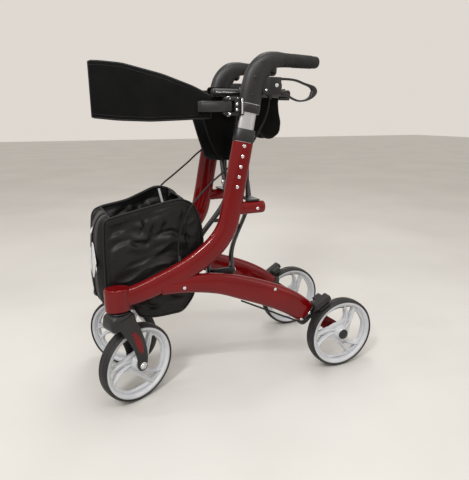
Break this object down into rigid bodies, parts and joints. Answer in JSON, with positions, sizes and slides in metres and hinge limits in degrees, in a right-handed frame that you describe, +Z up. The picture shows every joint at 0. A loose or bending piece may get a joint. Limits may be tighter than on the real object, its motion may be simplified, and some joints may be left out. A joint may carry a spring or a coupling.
{
  "type": "rollator walking frame",
  "caption": "Four-wheeled walking frame, folded sideways on its cross brace, with height-set handles, loop brakes, slung seat, back band and bag.",
  "frame": {"origin": "on the floor under the middle of the bounding box of the folded walker", "axes": "+X points to the rear, where the user walks; +Z is up; -Y is the left side frame"},
  "size_m": [0.7619, 0.3466, 0.8392],
  "materials": {
    "red_paint": "gloss",
    "black_plastic": "matte",
    "grip_rubber": "matte, ribbed",
    "aluminium": "satin",
    "black_tube": "satin",
    "wheel_grey": "satin",
    "tyre": "matte",
    "nylon": "woven",
    "cable": "smooth"
  },
  "bodies": {
    "left_frame": {"left_side_frame": "red_paint", "left_column_bush": "black_plastic", "left_brace_bracket": "black_plastic", "left_guide_plate": "black_plastic", "left_leg_clamp": "black_plastic", "left_wheel_carrier": "red_paint", "left_brake_housing": "black_plastic", "left_lower_cable": "cable", "left_bag_side": "nylon"},
    "left_caster": {"left_caster_fork": "black_plastic"},
    "left_front_wheel_body": {"left_front_wheel": "wheel_grey", "left_front_tyre": "tyre"},
    "left_rear_wheel_body": {"left_rear_wheel": "wheel_grey", "left_rear_tyre": "tyre", "left_hub_cap": "black_plastic"},
    "left_handle": {"left_height_tube": "aluminium", "left_handle_housing": "black_plastic", "left_grip": "grip_rubber", "left_collar": "black_plastic", "left_backrest_bracket": "black_plastic", "left_upper_cable": "cable"},
    "left_button": {"left_height_button": "aluminium"},
    "left_lever": {"left_brake_lever": "black_plastic"},
    "left_shoe": {"left_brake_shoe": "black_tube"},
    "left_rail": {"left_seat_rail": "black_tube"},
    "left_seat": {"left_seat_half": "nylon"},
    "left_backrest": {"left_backrest_arm": "black_plastic", "left_backrest_half": "nylon"},
    "left_bag_slide": {"left_bag_middle": "nylon"},
    "right_frame": {"right_side_frame": "red_paint", "right_column_bush": "black_plastic", "right_brace_bracket": "black_plastic", "right_guide_plate": "black_plastic", "right_leg_clamp": "black_plastic", "right_wheel_carrier": "red_paint", "right_brake_housing": "black_plastic", "right_lower_cable": "cable", "right_bag_side": "nylon"},
    "right_caster": {"right_caster_fork": "black_plastic"},
    "right_front_wheel_body": {"right_front_wheel": "wheel_grey", "right_front_tyre": "tyre"},
    "right_rear_wheel_body": {"right_rear_wheel": "wheel_grey", "right_rear_tyre": "tyre", "right_hub_cap": "black_plastic"},
    "right_handle": {"right_height_tube": "aluminium", "right_handle_housing": "black_plastic", "right_grip": "grip_rubber", "right_collar": "black_plastic", "right_backrest_bracket": "black_plastic", "right_upper_cable": "cable"},
    "right_button": {"right_height_button": "aluminium"},
    "right_lever": {"right_brake_lever": "black_plastic"},
    "right_shoe": {"right_brake_shoe": "black_tube"},
    "right_rail": {"right_seat_rail": "black_tube"},
    "right_seat": {"right_seat_half": "nylon"},
    "right_backrest": {"right_backrest_arm": "black_plastic", "right_backrest_half": "nylon"},
    "right_bag_slide": {"right_bag_middle": "nylon"},
    "brace_a": {"brace_from_left": "black_tube"},
    "brace_b": {"brace_from_right": "black_tube"}
  },
  "joints": [
    {"name": "fold", "type": "hinge", "parent": "left_frame", "child": "brace_a", "pos_m": [-0.0491, -0.0775, 0.303], "axis": [-1, 0, 0], "range_deg": [0, 45]},
    {"name": "brace_centre", "type": "hinge", "parent": "brace_a", "child": "brace_b", "pos_m": [0.0209, 0, 0.52485], "axis": [-1, 0, 0], "range_deg": [-90, 0]},
    {"name": "right_frame_pivot", "type": "hinge", "parent": "brace_b", "child": "right_frame", "pos_m": [-0.0491, 0.0775, 0.303], "axis": [-1, 0, 0], "range_deg": [0, 45]},
    {"name": "left_rail_pivot", "type": "hinge", "parent": "brace_b", "child": "left_rail", "pos_m": [0.0209, -0.0775, 0.74671], "axis": [-1, 0, 0], "range_deg": [0, 45]},
    {"name": "left_seat_fold", "type": "hinge", "parent": "left_rail", "child": "left_seat", "pos_m": [0.0309, -0.0525, 0.75921], "axis": [1, 0, 0], "range_deg": [0, 74.2]},
    {"name": "left_backrest_hinge", "type": "hinge", "parent": "left_handle", "child": "left_backrest", "pos_m": [-0.0441, -0.1125, 0.715], "axis": [0, 0, -1], "range_deg": [0, 31.1]},
    {"name": "left_bag_gather", "type": "slide", "parent": "left_frame", "child": "left_bag_slide", "axis": [0, 1, 0], "range_m": [0, 0.1342]},
    {"name": "left_height", "type": "slide", "parent": "left_frame", "child": "left_handle", "axis": [0.1849, 0, 0.9827], "range_m": [0, 0.098], "deforming": ["left_upper_cable"]},
    {"name": "left_height_button_press", "type": "slide", "parent": "left_handle", "child": "left_button", "axis": [0, 1, 0], "range_m": [0, 0.003], "stiffness_N_per_m": 400},
    {"name": "left_brake_lever", "type": "hinge", "parent": "left_handle", "child": "left_lever", "pos_m": [0.0749, -0.1125, 0.764], "axis": [0, -1, 0], "range_deg": [0, 12], "stiffness_Nm_per_rad": 1.2, "springref_deg": -20.05},
    {"name": "left_brake_shoe", "type": "slide", "parent": "left_frame", "child": "left_shoe", "axis": [0.5417, 0, -0.8406], "range_m": [0, 0.005]},
    {"name": "left_caster_swivel", "type": "hinge", "parent": "left_frame", "child": "left_caster", "pos_m": [-0.3241, -0.1125, 0.25], "axis": [0, 0, 1], "continuous": true},
    {"name": "left_front_wheel_spin", "type": "hinge", "parent": "left_caster", "child": "left_front_wheel_body", "pos_m": [-0.28573, -0.09542, 0.1], "axis": [-0.4067, 0.9135, 0], "continuous": true},
    {"name": "left_rear_wheel_spin", "type": "hinge", "parent": "left_frame", "child": "left_rear_wheel_body", "pos_m": [0.2809, -0.1475, 0.1], "axis": [0, 1, 0], "continuous": true},
    {"name": "right_rail_pivot", "type": "hinge", "parent": "brace_a", "child": "right_rail", "pos_m": [0.0209, 0.0775, 0.74671], "axis": [-1, 0, 0], "range_deg": [-45, 0]},
    {"name": "right_seat_fold", "type": "hinge", "parent": "right_rail", "child": "right_seat", "pos_m": [0.0309, 0.0525, 0.75921], "axis": [-1, 0, 0], "range_deg": [0, 74.2]},
    {"name": "right_backrest_hinge", "type": "hinge", "parent": "right_handle", "child": "right_backrest", "pos_m": [-0.0441, 0.1125, 0.715], "axis": [0, 0, 1], "range_deg": [0, 31.1]},
    {"name": "right_bag_gather", "type": "slide", "parent": "right_frame", "child": "right_bag_slide", "axis": [0, -1, 0], "range_m": [0, 0.1342]},
    {"name": "right_height", "type": "slide", "parent": "right_frame", "child": "right_handle", "axis": [0.1849, 0, 0.9827], "range_m": [0, 0.098], "deforming": ["right_upper_cable"]},
    {"name": "right_height_button_press", "type": "slide", "parent": "right_handle", "child": "right_button", "axis": [0, -1, 0], "range_m": [0, 0.003], "stiffness_N_per_m": 400},
    {"name": "right_brake_lever", "type": "hinge", "parent": "right_handle", "child": "right_lever", "pos_m": [0.0749, 0.1125, 0.764], "axis": [0, -1, 0], "range_deg": [0, 12], "stiffness_Nm_per_rad": 1.2, "springref_deg": -20.05},
    {"name": "right_brake_shoe", "type": "slide", "parent": "right_frame", "child": "right_shoe", "axis": [0.5417, 0, -0.8406], "range_m": [0, 0.005]},
    {"name": "right_caster_swivel", "type": "hinge", "parent": "right_frame", "child": "right_caster", "pos_m": [-0.3241, 0.1125, 0.25], "axis": [0, 0, 1], "continuous": true},
    {"name": "right_front_wheel_spin", "type": "hinge", "parent": "right_caster", "child": "right_front_wheel_body", "pos_m": [-0.291, 0.08664, 0.1], "axis": [0.6157, 0.788, 0], "continuous": true},
    {"name": "right_rear_wheel_spin", "type": "hinge", "parent": "right_frame", "child": "right_rear_wheel_body", "pos_m": [0.2809, 0.1475, 0.1], "axis": [0, 1, 0], "continuous": true}
  ],
  "couplings": [
    {"joint": "brace_centre", "follows": "fold", "ratio": -2},
    {"joint": "right_frame_pivot", "follows": "fold", "ratio": 1},
    {"joint": "left_rail_pivot", "follows": "fold", "ratio": 1},
    {"joint": "left_seat_fold", "follows": "fold", "ratio": 1.6489},
    {"joint": "left_backrest_hinge", "follows": "fold", "ratio": 0.69111},
    {"joint": "left_bag_gather", "follows": "fold", "m_per_rad": 0.17087},
    {"joint": "left_brake_shoe", "follows": "left_brake_lever", "m_per_rad": 0.023873},
    {"joint": "right_rail_pivot", "follows": "fold", "ratio": -1},
    {"joint": "right_seat_fold", "follows": "fold", "ratio": 1.6489},
    {"joint": "right_backrest_hinge", "follows": "fold", "ratio": 0.69111},
    {"joint": "right_bag_gather", "follows": "fold", "m_per_rad": 0.17087},
    {"joint": "right_brake_shoe", "follows": "right_brake_lever", "m_per_rad": 0.023873}
  ]
}
